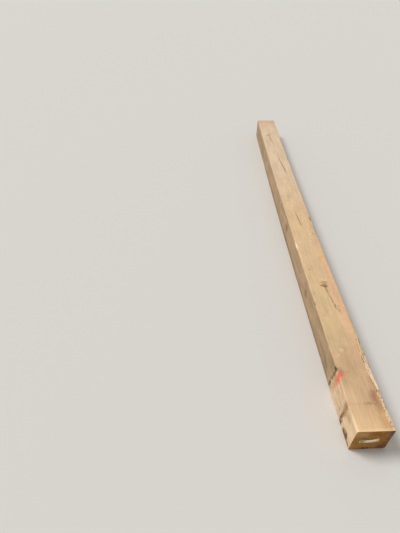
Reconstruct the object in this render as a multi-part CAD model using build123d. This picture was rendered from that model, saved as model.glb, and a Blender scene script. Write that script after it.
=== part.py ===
import math
import os

from build123d import *

# A pressure-treated timber post, nominal six by six inches, with a plastic tag stapled
# to one end. Everything is in millimetres. X runs across the post, +Y runs along it from
# the tagged end to the plain end, and +Z is up. It lies on its underside at Z = 0.

# The timber
post_width = 139.7
post_height = 139.7
post_length = 2743.2
crook = 11.0            # how far the middle bows towards -X as the timber dries
arris_radius = 6.0      # the planer eases the four long corners

# The pith, the heart of the tree, which the drying checks point at
pith_across = 9.0       # from the middle of the section
pith_up = 58.0          # from the underside

# The drying checks in the top face. They taper to nothing at both ends and follow the
# grain, which runs slightly across the post.
#   (middle along as a share of the length, middle across, length, drift, opening, depth)
drying_checks = [
    (0.8480, -3.0, 200.0, 23.0, 2.6, 22.0),
    (0.7050, 14.0, 300.0, 21.5, 4.6, 36.0),
    (0.4670, -4.0, 176.0, 11.0, 3.4, 28.0),
    (0.2334, 16.5, 146.0, 17.0, 3.0, 20.0),
]
check_stations = 6      # sections between the two tips of a check
check_sway = 0.8        # how far a check wanders from its straight course

# The torn corner, where the grain runs out of the upper arris on the +X side
#   (distance from the tagged end, how far it reaches across the top, and down the side)
torn_corner = [
    (410.0, 13.0, 3.0),
    (366.0, 18.0, 4.0),
    (322.0, 21.0, 4.5),
    (266.0, 22.0, 4.0),
    (206.0, 18.0, 3.5),
    (168.0, 14.0, 3.0),
    (158.0, 15.0, 10.0),
    (146.0, 14.0, 7.0),
    (122.0, 12.0, 6.5),
    (86.0, 12.0, 6.0),
    (62.0, 11.0, 5.5),
    (34.0, 8.0, 4.0),
]
torn_far_tip = 448.0
torn_near_tip = 12.0

# The tag, a strip of thin plastic that bulges a little between its staples
tag_length = 72.0
tag_height = 20.0
tag_thickness = 0.5
tag_bow = 2.2           # how far the middle stands off the timber
tag_corner_radius = 1.5
tag_tilt = 4.0          # the +X end is the higher one
tag_across = -8.0       # its middle, from the middle of the section
tag_up = 69.0           # its middle, from the underside

# The staples, one near each end of the tag
staple_inset = 6.0      # from the end of the tag to the middle of the crown
staple_crown = 11.0
staple_wire_width = 1.2
staple_wire_thickness = 0.6
staple_leg = 10.0
leg_clearance = 0.1     # round each leg, in the tag and in the timber
pad_margin = 1.5        # flat tag on the inner side of each crown

overshoot = 2.0         # how far a cutting shape reaches past the surface it cuts
tip_size = 0.05         # the blunt tip of a tapering cut, which stays outside the timber

# The middle line of the crooked timber is an arc about an upright line far out at +X.
# The origin is under the middle of the box that the bowed timber fills.
bow_radius = post_length**2 / (8 * crook)
bow_centre = (bow_radius - crook / 2, 0, 0)
bow_half_angle = math.degrees(post_length / 2 / bow_radius)


def place_along(along):
    """The place of the section at a distance from the tagged end: X across, Y along, Z up."""
    turn = bow_half_angle - math.degrees(along / bow_radius)
    return Pos(*bow_centre) * Rot(0, 0, turn) * Pos(-bow_radius, 0, 0)


def timber_blank():
    """The planed timber: a square section with eased corners, carried along the bow."""
    section = Pos(0, post_height / 2) * RectangleRounded(post_width, post_height, arris_radius)
    plain_end = place_along(post_length) * (Plane.XZ * section)
    return revolve(plain_end, Axis(bow_centre, (0, 0, 1)), 2 * bow_half_angle)


def wedge(along, *corners):
    """A triangle across the post at a distance from the tagged end, to loft a cut from."""
    return place_along(along) * make_face(Polyline(*[(x, 0, z) for x, z in corners], close=True))


def drying_check(share, across, length, drift, opening, depth):
    """The cutting shape of one check: a wedge that swells from nothing and dies away."""
    rim = post_height + overshoot

    def section(step):
        along = share * post_length + length * (step - 0.5)
        x = across - drift * (step - 0.5) + check_sway * math.sin(2 * math.pi * step)
        swell = math.sin(math.pi * step)
        reach = tip_size + (depth + overshoot) * swell**0.5
        half = tip_size + opening / 2 * (depth + overshoot) / depth * swell**0.7
        lean = (pith_across - across) * reach / (post_height - pith_up)
        return wedge(along, (x - half, rim), (x + half, rim), (x + lean, rim - reach))

    steps = [i / (check_stations + 1) for i in range(check_stations + 2)]
    return loft([section(step) for step in steps], ruled=True)


def torn_corner_cut():
    """The cutting shape of the torn corner: a plane that tilts and shifts along the arris."""
    edge = post_width / 2

    def section(along, across, down):
        run = math.hypot(across, down)
        past_across, past_down = overshoot * across / run, overshoot * down / run
        inner = (edge - across - past_across, post_height + past_down)
        lower = (edge + past_across, post_height - down - past_down)
        return wedge(along, inner, lower, (edge + across, post_height + down))

    rows = [(torn_far_tip, tip_size, tip_size), *torn_corner, (torn_near_tip, tip_size, tip_size)]
    return loft([section(*row) for row in rows], ruled=True)


# The tag and its staples are drawn with X along the tag, Z up its height and the timber's
# end face at Y = 0, and are then turned and moved onto the end face together.
tag_place = place_along(0) * Pos(tag_across, 0, tag_up) * Rot(0, -tag_tilt, 0)
staple_middles = [side * (tag_length / 2 - staple_inset) for side in (-1, 1)]
pad_inner_edge = tag_length / 2 - staple_inset - staple_wire_width / 2 - pad_margin
leg_offset = (staple_crown - staple_wire_thickness) / 2


def leg_holes(depth, front):
    """Holes for the four staple legs, from Y = -front to Y = depth."""
    across = staple_wire_width + 2 * leg_clearance
    up = staple_wire_thickness + 2 * leg_clearance
    hole = Pos(0, (depth - front) / 2, 0) * Box(across, depth + front, up)
    places = [Pos(x, 0, side * leg_offset) for x in staple_middles for side in (-1, 1)]
    return [place * hole for place in places]


def tag():
    """The tag: a flat pad at each end and a shallow arc between them, of even thickness."""

    def face_line(stand_off):
        ends, pads = tag_length / 2, pad_inner_edge
        left = Line((-ends, -stand_off), (-pads, -stand_off))
        arc = ThreePointArc((-pads, -stand_off), (0, -stand_off - tag_bow), (pads, -stand_off))
        right = Line((pads, -stand_off), (ends, -stand_off))
        return [left, arc, right]

    back, front = face_line(0), face_line(tag_thickness)
    sides = [Line(back[0] @ 0, front[0] @ 0), Line(back[2] @ 1, front[2] @ 1)]
    profile = make_face([*back, *front, *sides])
    strip = extrude(profile, amount=tag_height / 2, both=True, dir=(0, 0, 1))
    corners = strip.edges().filter_by(Axis.Y)
    strip = fillet(corners, tag_corner_radius)
    return strip - leg_holes(overshoot, tag_thickness + overshoot)


def staple(middle):
    """One staple: a flat crown over the tag and two legs driven into the timber."""
    reach = staple_leg + staple_wire_thickness
    outer = Rectangle(staple_crown, reach, align=(Align.CENTER, Align.MIN))
    inner = Rectangle(staple_crown - 2 * staple_wire_thickness, staple_leg, align=(Align.CENTER, Align.MIN))
    bend = outer - Pos(0, staple_wire_thickness) * inner
    shoulders = bend.vertices().filter_by(lambda v: v.Y < staple_wire_thickness / 2)
    bend = fillet(shoulders, 0.8 * staple_wire_thickness)
    wire = extrude(bend, amount=staple_wire_width / 2, both=True)
    return Pos(middle, -tag_thickness - staple_wire_thickness, 0) * Rot(0, -90, 0) * wire


post = timber_blank()
for check in drying_checks:
    post -= drying_check(*check)
post -= torn_corner_cut()
holes_in_timber = leg_holes(staple_leg - tag_thickness + leg_clearance, overshoot)
post -= [tag_place * hole for hole in holes_in_timber]

pieces = {
    "post": post,
    "end_tag": tag_place * tag(),
    "tag_staple_left": tag_place * staple(staple_middles[0]),
    "tag_staple_right": tag_place * staple(staple_middles[1]),
}

os.makedirs("parts", exist_ok=True)
for name, piece in pieces.items():
    export_step(piece, f"parts/{name}.step")
    size = piece.bounding_box().size
    print(name, round(piece.volume), "mm3", [round(v, 2) for v in (size.X, size.Y, size.Z)])
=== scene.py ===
import functools
import math
import random
import bpy
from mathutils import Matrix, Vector, noise


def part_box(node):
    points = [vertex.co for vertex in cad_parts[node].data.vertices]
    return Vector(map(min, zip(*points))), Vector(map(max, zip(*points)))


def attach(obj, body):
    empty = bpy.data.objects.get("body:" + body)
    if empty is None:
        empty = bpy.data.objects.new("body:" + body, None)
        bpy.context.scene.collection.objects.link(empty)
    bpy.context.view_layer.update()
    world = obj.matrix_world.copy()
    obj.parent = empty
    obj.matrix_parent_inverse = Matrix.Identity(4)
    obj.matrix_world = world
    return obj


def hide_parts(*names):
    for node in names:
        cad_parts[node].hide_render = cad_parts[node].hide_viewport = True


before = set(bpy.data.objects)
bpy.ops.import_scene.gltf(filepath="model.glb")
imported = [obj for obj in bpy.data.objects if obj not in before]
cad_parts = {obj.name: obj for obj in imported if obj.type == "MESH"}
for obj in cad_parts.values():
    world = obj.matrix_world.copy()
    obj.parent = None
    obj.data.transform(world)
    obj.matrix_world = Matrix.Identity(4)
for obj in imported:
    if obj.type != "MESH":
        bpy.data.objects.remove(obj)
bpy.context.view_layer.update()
print("frame loaded:", ", ".join(sorted(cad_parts)))

millimetre = 0.001

# The timber's sizes in millimetres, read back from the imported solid
lowCorner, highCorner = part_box("post")
postHeight = (highCorner.z - lowCorner.z) / millimetre
postWidth = postHeight  # the section is square
crook = (highCorner.x - lowCorner.x) / millimetre - postWidth
boxLength = (highCorner.y - lowCorner.y) / millimetre
postLength = boxLength - 4 * crook * postWidth / boxLength
bowRadius = postLength ** 2 / (8 * crook)
halfAngle = postLength / 2 / bowRadius


# Across, along and up on the straightened timber, in millimetres, to a point of the bowed one
def inFrame(across, along, up):
    turn = halfAngle - along / bowRadius
    reach = across - bowRadius
    x = bowRadius - crook / 2 + reach * math.cos(turn)
    return Vector((x, reach * math.sin(turn), up)) * millimetre


# sRGB hex to the linear colour that shaders want
def hexColour(code):
    channels = [int(code[i:i + 2], 16) / 255 for i in (1, 3, 5)]
    linear = [c / 12.92 if c <= 0.04045 else ((c + 0.055) / 1.055) ** 2.4 for c in channels]
    return (*linear, 1.0)


# Adds a shader node, sets it up, links or sets its inputs and hands back one of its outputs. The
# inputs are a list from the first one on or a dictionary, and a hex string is a colour. The mode is
# what a Math node does, or how a MapRange runs from one value to the other.
def addNode(tree, kind, inputs=(), mode=None, out=0, **settings):
    node = tree.nodes.new("ShaderNode" + kind)
    if kind == "Mix":  # every one here mixes colours
        settings["data_type"], out = "RGBA", 2
    if mode:
        settings["interpolation_type" if kind == "MapRange" else "operation"] = mode
    for name, value in settings.items():
        setattr(node, name, value)
    for key, value in inputs.items() if isinstance(inputs, dict) else enumerate(inputs):
        if isinstance(value, bpy.types.NodeSocket):
            tree.links.new(value, node.inputs[key])
        else:
            node.inputs[key].default_value = hexColour(value) if isinstance(value, str) else value
    return node.outputs[out] if len(node.outputs) else node


# Empties the nodes of a material or a world and hands back addNode for them
def emptyNodes(owner):
    owner.use_nodes = True
    owner.node_tree.nodes.clear()
    return functools.partial(addNode, owner.node_tree)


def smoothNoise(*place):
    return noise.noise(Vector(place))


def clamped(value):
    return min(1.0, max(0.0, value))


# Quads between rings of points that follow one another, from the first ring's first point on
def wallFaces(first, rings, around):
    faces = []
    for start in range(first, first + (rings - 1) * around, around):
        for i in range(around):
            a, b = start + i, start + (i + 1) % around
            faces.append((a, b, b + around, a + around))
    return faces


# The same with both ends closed
def rodFaces(first, rings, around):
    last = first + (rings - 1) * around
    ends = [tuple(range(first + around - 1, first - 1, -1)), tuple(range(last, last + around))]
    return wallFaces(first, rings, around) + ends


sharpFrom = 38  # degrees between two faces from which their edge stays sharp


def makePiece(name, points, faces, material):
    mesh = bpy.data.meshes.new(name)
    mesh.from_pydata(points, [], faces)
    mesh.polygons.foreach_set("use_smooth", [True] * len(mesh.polygons))
    mesh.set_sharp_from_angle(angle=math.radians(sharpFrom))
    mesh.materials.append(material)
    piece = bpy.data.objects.new(name, mesh)
    bpy.context.scene.collection.objects.link(piece)
    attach(piece, "root")
    return piece


def addAttribute(mesh, name, kind, values):
    attribute = mesh.attributes.new(name, kind, "POINT")
    if kind == "FLOAT":
        attribute.data.foreach_set("value", values)
    else:
        attribute.data.foreach_set("vector", [c for value in values for c in value])


# The camera stands where the photograph was taken from, in the timber's frame
photoCamera = {
    "place": (-0.6292, -2.0229, 1.5134),  # metres
    "downwards": 41.921,   # degrees below level
    "rightwards": 1.183,   # degrees right of straight along the timber
    "lens": 27.19,
    "longSide": 36.0,      # mm, which the lens goes with
}


def addCamera():
    camera = bpy.data.objects.new("photo_camera", bpy.data.cameras.new("photo_camera"))
    camera.data.sensor_width = photoCamera["longSide"]
    camera.data.lens = photoCamera["lens"]
    camera.location = photoCamera["place"]
    tilt = math.radians(90 - photoCamera["downwards"])
    camera.rotation_euler = (tilt, 0, -math.radians(photoCamera["rightwards"]))
    bpy.context.scene.collection.objects.link(camera)
    bpy.context.scene.camera = camera


addCamera()
print("camera placed")

# The heart of the tree: the growth rings circle it and the checks point at it
pith = {"across": 9.0, "up": 58.0}

# Branches grow out of the pith: place along in mm, angle in the section from +X towards the top,
# radius in mm
knots = [
    (727, 91, 11.5),    # brown knot in the top
    (744, 171, 15.0),
    (733, 322, 10.0),
    (345, 192, 13.0),
    (1268, 158, 16.0),
    (1284, 44, 9.0),    # small one at the upper +X arris
    (1275, 275, 12.0),
    (1874, 5, 13.0),
    (1868, 205, 10.0),
    (2446, 106, 7.0),   # small one in the top, far end
    (2438, 250, 11.0),
]
knotShape = {
    "lean": 0.18,           # how far a branch leans towards the tip of the tree
    "rootBack": 14,         # mm that it starts in the pith before the place where it shows
    "stray": (11, 13, 11),  # mm that its rim strays
    "strayScale": 0.11,
    "melt": 0.15,           # how softly knots that meet run together
}


# A place in the wood, moved by up to half of a reach each way as a noise has it
def strayed(add, place, noiseInputs, reach):
    stray = add("TexNoise", noiseInputs, out=1)
    stray = add("VectorMath", [stray, (0.5, 0.5, 0.5)], "SUBTRACT")
    return add("VectorMath", [stray, reach, place], "MULTIPLY_ADD")


# One distance field for every knot: 1 at a knot's rim, less inside, more outside
def knotField(add, place):
    place = strayed(add, place, {"Vector": place, "Scale": knotShape["strayScale"], "Detail": 3.0},
                    knotShape["stray"])
    field = None
    for along, degrees, knotRadius in knots:
        angle = math.radians(degrees)
        axis = Vector((math.cos(angle), knotShape["lean"], math.sin(angle))).normalized()
        root = (pith["across"], along - knotShape["rootBack"], pith["up"])
        offset = add("VectorMath", [place, root], "SUBTRACT")
        reach = add("VectorMath", [offset, axis], "DOT_PRODUCT", out=1)
        reach = add("Math", [reach, 1.0], "MAXIMUM")
        foot = add("VectorMath", {0: axis, 3: reach}, "SCALE")
        aside = add("VectorMath", [offset, foot], "SUBTRACT")
        gap = add("VectorMath", [aside], "LENGTH", out=1)
        share = add("Math", [gap, 1 / knotRadius], "MULTIPLY")
        if field is None:
            field = share
        else:
            field = add("Math", [field, share, knotShape["melt"]], "SMOOTH_MIN")
    return field


# Growth rings: 0 in the pale early wood, 1 in the hard late wood at each ring's outer edge.
# Rings are wide by the pith, where the tree grew fast, and close up towards the bark.
growth = {
    "innerRing": 8.5,     # mm, a fast-grown southern pine
    "closeUp": 0.0011,    # how quickly the rings narrow outwards
    "taper": 0.0075,      # the trunk narrows by this much for each mm of length
    "wander": 16.0,       # mm the pith strays along the length
    "wanderLength": 800,  # mm
    "swell": 9.0,         # mm of unevenness round the rings
    "swellSize": (60, 520, 60),  # mm across, along and up
    "knotSwirl": 16.0,    # mm the rings bulge round a knot
    "swirlReach": 4.5,    # times the knot's radius
    "profile": ((0.45, 0.1), (0.78, 0.8), (0.94, 1.0)),  # share of a ring, how late the wood is
}


def growthRings(add, place, field):
    along = add("SeparateXYZ", [place], out=1)
    slow = add("Math", [along, 1 / growth["wanderLength"]], "MULTIPLY")
    stray = add("TexNoise", {"W": slow, "Scale": 1.0, "Detail": 1.0}, out=1, noise_dimensions="1D")
    stray = add("VectorMath", [stray, (0.5, 0.5, 0.5)], "SUBTRACT")
    stray = add("VectorMath", {0: stray, 3: growth["wander"]}, "SCALE")
    centre = (pith["across"], 0, pith["up"])
    offset = add("VectorMath", [place, centre], "SUBTRACT")
    offset = add("VectorMath", [offset, stray], "SUBTRACT")
    offset = add("VectorMath", [offset, (1, 0, 1)], "MULTIPLY")
    radius = add("VectorMath", [offset], "LENGTH", out=1)
    taper = add("Math", [along, growth["taper"]], "MULTIPLY")
    radius = add("Math", [radius, taper], "ADD")
    swellPlace = add("VectorMath", [place, [1 / s for s in growth["swellSize"]]], "MULTIPLY")
    swell = add("TexNoise", {"Vector": swellPlace, "Scale": 1.0, "Detail": 2.0})
    swell = add("Math", [swell, growth["swell"], radius], "MULTIPLY_ADD")
    swirl = add("MapRange", [field, 0.0, growth["swirlReach"], growth["knotSwirl"], 0.0], "SMOOTHERSTEP")
    radius = add("Math", [swell, swirl], "SUBTRACT")
    uneven = add("TexNoise", {"W": radius, "Scale": 0.09, "Detail": 1.0}, noise_dimensions="1D")
    rate = add("Math", [radius, growth["closeUp"], 1 / growth["innerRing"]], "MULTIPLY_ADD")
    count = add("Math", [radius, rate, uneven], "MULTIPLY_ADD")
    share = add("Math", [count], "FRACT")
    ramp = add("ValToRGB", [share])
    stops = ramp.node.color_ramp.elements
    stops[1].color = stops[0].color  # a ring starts and ends in early wood
    for position, level in growth["profile"]:
        stops.new(position).color = (level, level, level, 1)
    return ramp


# A patch of the timber: its strength at its centre, 0 past its reach across, along and up.
# Edges are soft from the inner share outwards, and ragged where the mottle is mixed in.
def softPatch(add, place, mottle, patch):
    offset = add("VectorMath", [place, patch["centre"]], "SUBTRACT")
    scaled = add("VectorMath", [offset, [1 / r for r in patch["reach"]]], "MULTIPLY")
    if patch.get("square"):
        scaled = add("VectorMath", [scaled, scaled], "MULTIPLY")
    length = add("VectorMath", [scaled], "LENGTH", out=1)
    if patch.get("square"):
        length = add("Math", [length], "SQRT")
    if patch["ragged"]:
        length = add("Math", [mottle, patch["ragged"], length], "MULTIPLY_ADD")
    return add("MapRange", [length, patch["inner"], 1.0, patch["strength"], 0.0], "SMOOTHSTEP")


# Lays patches over a base colour, each in its own colour or else in the shade that is given
def layPatches(add, place, mottle, base, patches, shade=None):
    for patch in patches:
        cover = softPatch(add, place, mottle, patch)
        base = add("Mix", {0: cover, 6: base, 7: patch.get("colour", shade)})
    return base


farOff = 1e5  # a reach so long that a patch covers everything that way
leftFace = -postWidth / 2


# One row is one patch: its middle and its reach across, along and up in mm, the share of the reach
# at which its edge begins, its strength, how ragged the edge is, its colour, and whether it is square
def patchesOf(rows):
    fields = ("centre", "reach", "inner", "strength", "ragged", "colour", "square")
    return [dict(zip(fields, row)) for row in rows]


# Patches in the left face only: middle along and up, reach along and up, then as above. They reach
# 12 mm across from a middle that lies on the face or a little outside it, so they stay off the top.
def leftPatches(rows, outside=2):
    return patchesOf([((leftFace - outside, along, up), (12, length, height), *rest)
                      for along, up, length, height, *rest in rows])


# What tints the top, in the order in which one lies over another
topTints = patchesOf([
    ((50, 640, 139), (34, 600, 22), 0.3, 0.5, 0, "#e3ae87"),
    ((50, 1352, 139), (18, 56, 20), 0.2, 0.6, 0.3, "#e3a58c"),
    ((-24, 520, 139), (52, 360, 22), 0.3, 0.38, 0, "#cfb382"),
    ((0, 2300, 139), (farOff, 1150, farOff), 0.3, 0.55, 0, "#dcc6ac"),
    ((10, 1010, 139), (50, 180, 22), 0.2, 0.35, 0, "#dfbd94"),
    ((40, 930, 139), (14, 46, 12), 0.1, 0.6, 0.4, "#dcb060"),
    ((33, 1893, 139), (13, 60, 12), 0.1, 0.6, 0, "#efdcbc"),
    ((-22, 1531, 139), (17, 22, 10), 0.1, 0.5, 0.5, "#cda98a"),
    # dull where it lay under a strap, brown by the torn corner
    ((0, 150, 139), (farOff, 340, 30), 0.3, 0.6, 0, "#c39f7b"),
    ((8, 84, 139), (50, 46, 20), 0.1, 0.5, 0.3, "#c9a076"),
    ((46, 132, 139), (38, 52, 25), 0.2, 0.74, 0.4, "#9c6b49"),
    ((-45, 106, 139), (28, 12, 20), 0.1, 0.5, 0.3, "#c99a78"),
    ((2, 104, 139), (22, 13, 20), 0.1, 0.5, 0.4, "#b0905c"),
    ((-57, 207, 139), (10, 14, 10), 0.1, 0.55, 0.4, "#b2aa6c"),
    ((-34, 242, 139), (14, 9, 10), 0.1, 0.45, 0.4, "#b2a468"),
    ((38, 238, 139), (18, 26, 10), 0.1, 0.5, 0.4, "#dfb28c"),
    ((0, 354, 139), (22, 26, 10), 0.1, 0.3, 0.4, "#b49468"),
    ((52, 196, 139), (26, 40, 20), 0.2, 0.5, 0.3, "#b58760"),
    ((-14, 292, 139), (34, 52, 20), 0.2, 0.12, 0, "#a58c62"),
    ((-60, 245, 139), (26, 26, 14), 0.1, 0.62, 0.6, "#a3774d"),
    # clean and golden by the sawn end
    ((-54, 136, 139), (40, 56, 20), 0.2, 0.72, 0.2, "#dcb692"),
    ((-20, -10, 139), (170, 150, farOff), 0.05, 0.64, 0.15, "#eec696"),
    ((-52, 60, 139), (36, 110, 20), 0.1, 0.5, 0, "#eec696"),
    ((60, 84, 139), (44, 46, 25), 0.1, 0.7, 0.4, "#a8764e"),
    ((62, 26, 139), (50, 74, 25), 0.15, 0.62, 0, "#c0885a"),
    ((48, 50, 139), (30, 36, 25), 0.1, 0.42, 0.3, "#b98254"),
    ((52, 36, 139), (5, 36, 9), 0.1, 0.5, 0.6, "#a5724a"),
    ((0, 106, 142), (farOff, 7, 8), 0.1, 0.12, 0.6, "#94714b"),
    ((10, 108, 139), (20, 9, 8), 0.1, 0.4, 0.9, "#8d6e4a"),
    ((30, 102, 139), (10, 8, 8), 0.1, 0.4, 0.9, "#8d6e4a"),
    ((0, 2680, 139), (farOff, 130, 30), 0.2, 0.45, 0, "#cbab8c"),
    ((0, 2700, 142), (farOff, 12, 10), 0.2, 0.3, 0.5, "#a98361"),
])
# The sides are darker and grey-brown, all but a pale stretch at the near end. Its edge slants
# towards the end as it climbs, and what is given here is where it lies at one height.
sideSlant = 0.14  # mm for each mm up
slantFrom = 60    # mm up
sideTints = patchesOf([
    ((0, 1520, 70), (farOff, 1256, farOff), 0.995, 0.86, 0, "#ad9171", True),
]) + leftPatches([
    (600, 130, 330, 46, 0.2, 0.35, 0, "#a5865c"),
    (318, 128, 66, 22, 0.1, 0.55, 0.5, "#7d6a42"),
    (305, 96, 58, 26, 0.1, 0.5, 0.5, "#8a7450"),
    (392, 64, 96, 13, 0.1, 0.4, 0.6, "#7b684c"),
    (345, 46, 52, 11, 0.1, 0.55, 0.6, "#76644a"),
    (330, 22, 70, 20, 0.1, 0.75, 0.5, "#8d765a"),
    (520, 18, 260, 24, 0.3, 0.6, 0.4, "#8f7252"),
    (540, 100, 120, 14, 0.1, 0.2, 0.5, "#8f7a56"),
    # painted shade: darker towards the bottom of the left face, against the light that the pale floor throws
    # up onto it
    (1400, 10, 1180, 34, 0.2, 0.7, 0.2, "#8a6c50"),
    (2450, 60, 350, 90, 0.2, 0.45, 0, "#8f7b5f"),
], 0) + patchesOf([
    ((leftFace, 120, 70), (60, 139, farOff), 0.98, 0.85, 0.02, "#e3c29d", True),
    ((-leftFace, 20, 70), (40, 330, farOff), 0.1, 0.8, 0.5, "#dbb78c"),
    ((-leftFace, 300, 70), (40, 110, farOff), 0.3, 0.86, 0.15, "#ad9171"),
    ((leftFace, 44, 74), (14, 62, 50), 0.3, 0.6, 0, "#ecd0a8"),
    ((leftFace, 238, 100), (14, 24, 50), 0.1, 0.6, 0.5, "#a9763f"),
    ((leftFace, 236, 50), (14, 34, 40), 0.1, 0.5, 0.5, "#bd9068"),
    ((leftFace, 206, 16), (14, 40, 26), 0.1, 0.5, 0.4, "#f2d4a6"),
    ((0, 1400, -2), (60, farOff, 8), 0.5, 0.5, 0, "#a58a66"),
])
# Strap marks, streaks and dark pits
stains = patchesOf([
    ((leftFace, 261, 134), (9, 15, 14), 0.4, 0.95, 0.5, "#4b3417"),
    ((leftFace, 68, 104), (10, 28, 24), 0.2, 0.65, 0.4, "#c09874"),
]) + leftPatches([
    (257, 118, 8, 22, 0.4, 0.9, 0.35, "#74502a"),
    (259, 99, 11, 21, 0.3, 0.9, 0.5, "#77592b"),
    (260, 76, 13, 18, 0.3, 0.92, 0.5, "#8a5b27"),
    (266, 62, 8, 12, 0.3, 0.8, 0.35, "#6e5430"),
    (264, 32, 13, 21, 0.35, 0.93, 0.5, "#44472a"),
    (268, 11, 12, 18, 0.3, 0.85, 0.4, "#5f6244"),
    (110, 116, 27, 32, 0.2, 0.85, 0.5, "#9a7248"),
    (104, 90, 29, 32, 0.1, 0.8, 0.5, "#a3764f"),
    (112, 28, 10, 19, 0.3, 0.88, 0.4, "#74502c"),
    (14, 10, 20, 14, 0.2, 0.75, 0.5, "#8f6a4c"),
    (152, 112, 26, 20, 0.1, 0.5, 0.5, "#c49c74"),
    (108, 66, 17, 26, 0.2, 0.88, 0.5, "#8a5e3a"),
    (109, 44, 12, 22, 0.35, 0.92, 0.4, "#6f4b28"),
    (97, 30, 10, 15, 0.3, 0.85, 0.4, "#80593a"),
    (104, 9, 17, 18, 0.4, 0.95, 0.4, "#604020"),
    (40, 10, 48, 24, 0.25, 0.8, 0.4, "#936a46"),
    (51, 35, 18, 15, 0.2, 0.75, 0.5, "#84623a"),
    (40, 24, 13, 25, 0.35, 0.95, 0.35, "#5f3d18"),
    (56, 13, 15, 18, 0.35, 0.93, 0.35, "#66441e"),
    (67, 18, 10, 21, 0.3, 0.9, 0.4, "#644322"),
    (76, 3, 10, 11, 0.3, 0.85, 0.4, "#70502e"),
    (136, 18, 26, 26, 0.2, 0.55, 0.4, "#c6b488"),
    (138, 46, 13, 15, 0.1, 0.75, 0.6, "#a27e5a"),
    (190, 88, 18, 12, 0.1, 0.6, 0.8, "#b08e62"),
    (184, 128, 30, 14, 0.1, 0.6, 0.5, "#bf9a70"),
    (183, 0, 11, 9, 0.2, 0.75, 0.5, "#8d6844"),
    (214, 3, 13, 9, 0.2, 0.75, 0.5, "#8d6844"),
    (251, 106, 10, 20, 0.2, 0.7, 0.4, "#8a5f34"),
    (250, 22, 10, 22, 0.1, 0.5, 0.4, "#a3805a"),
]) + patchesOf([
    ((leftFace, 1269, 88), (12, 40, 36), 0.15, 0.55, 0.4, "#6d5a35"),
    ((leftFace, 744, 72), (12, 34, 30), 0.15, 0.5, 0.4, "#6f5f44"),
    ((69, 1282, 138), (15, 30, 16), 0.25, 0.85, 0.35, "#6d5a2c"),
    ((45, 1142, 139), (9, 9, 8), 0.2, 0.6, 0.7, "#9b7548"),
    # the brown tails of the knots along the checks
    ((9, 700, 139), (9, 34, 12), 0.1, 0.55, 0.3, "#8e6a40"),
    ((6, 734, 139), (30, 34, 8), 0.1, 0.5, 0.4, "#ad8a5c"),
    ((11, 752, 139), (28, 5, 8), 0.1, 0.75, 0.5, "#7c5a34"),
    ((8, 722, 139), (16, 8, 8), 0.1, 0.75, 0.7, "#76552f"),
    ((-10, 729, 139), (8, 7, 8), 0.1, 0.7, 0.7, "#86643a"),
    ((22, 592, 139), (6, 26, 8), 0.2, 0.6, 0.3, "#7d5d3a"),
    ((33, 566, 139), (13, 26, 8), 0.1, 0.55, 0.5, "#b08e62"),
    ((-68, 612, 138), (6, 14, 9), 0.1, 0.7, 0.5, "#8d6a40"),
    ((-12, 2449, 139), (27, 11, 8), 0.1, 0.75, 0.6, "#86664a"),
    ((-30, 2430, 139), (14, 9, 8), 0.1, 0.6, 0.6, "#86664a"),
    ((-12, 2400, 139), (8, 60, 8), 0.1, 0.6, 0.3, "#9a7854"),
    ((18, 1872, 139), (5, 46, 8), 0.1, 0.6, 0.3, "#7d6244"),
    # pits and flecks in the top
    ((-42, 846, 139), (8, 4, 6), 0.2, 0.7, 0.7, "#86683f"),
    ((-30, 842, 139), (5, 4, 6), 0.2, 0.7, 0.6, "#86683f"),
    ((-59, 676, 139), (4, 5, 6), 0.2, 0.7, 0, "#80603a"),
    ((-45, 537, 139), (4, 4, 6), 0.2, 0.7, 0, "#8c6c44"),
    ((35, 594, 139), (5, 9, 6), 0.2, 0.6, 0, "#94744a"),
    ((57, 434, 139), (5, 8, 6), 0.2, 0.6, 0, "#94744a"),
    ((20, 2702, 139), (5, 5, 6), 0.2, 0.6, 0, "#7c5c3c"),
])
# Bare, pale places: scuffs, and the long edge where it is bruised; by the sawn end that edge also has a
# painted highlight
scuffs = patchesOf([
    ((-23, 350, 139), (16, 13, 8), 0.1, 0.4, 1.0, "#eedbb6"),
    ((-42, 323, 139), (9, 7, 8), 0.1, 0.4, 0.8, "#eedbb6"),
    ((-18, 1420, 139), (9, 26, 8), 0.1, 0.4, 0.4, "#eedcbc"),
    ((30, 1140, 139), (8, 12, 8), 0.1, 0.7, 0.6, "#ecd4ac"),
    ((20, 1080, 139), (7, 8, 8), 0.1, 0.7, 0.5, "#f0dcb8"),
    ((-66, 1034, 138), (9, 46, 9), 0.1, 0.85, 0.5, "#fbeaca"),
    # pale, with a painted highlight where the eased long edge catches the light by the sawn end
    ((-67, 18, 134), (12, 78, 13), 0.1, 0.62, 0.3, "#fbdcb0"),
    ((0, 0, 140), (farOff, 13, 9), 0.2, 0.5, 0.3, "#f8d8a6"),
]) + leftPatches([
    (20, 80, 22, 24, 0.1, 0.6, 0.4, "#fbd9b2"),
    (86, 50, 9, 11, 0.1, 0.7, 0.4, "#f6d8b4"),
    (148, 31, 9, 10, 0.1, 0.65, 0.5, "#f6dcb8"),
    (166, 14, 15, 16, 0.1, 0.65, 0.5, "#fbdcb6"),
    (208, 46, 14, 20, 0.1, 0.6, 0.4, "#f0cfa6"),
])
paintStrokes = patchesOf([
    ((leftFace + 7, 230, 139), (13, 13, 10), 0.5, 0.9, 0.35, "#f2675a", True),
    ((leftFace - 3, 218, 126), (12, 22, 22), 0.45, 0.84, 0.4, "#ee6d5e"),
    ((leftFace - 3, 220, 98), (12, 15, 34), 0.3, 0.6, 0.5, "#ea7866"),
    ((leftFace - 3, 226, 72), (12, 12, 28), 0.2, 0.5, 0.5, "#e4937a"),
    ((-46, 230, 141), (18, 4.5, 8), 0.3, 0.75, 0.3, "#ee7868"),
    ((-26, 229, 141), (16, 4, 8), 0.2, 0.5, 0.3, "#ec8f7c"),
])
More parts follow.
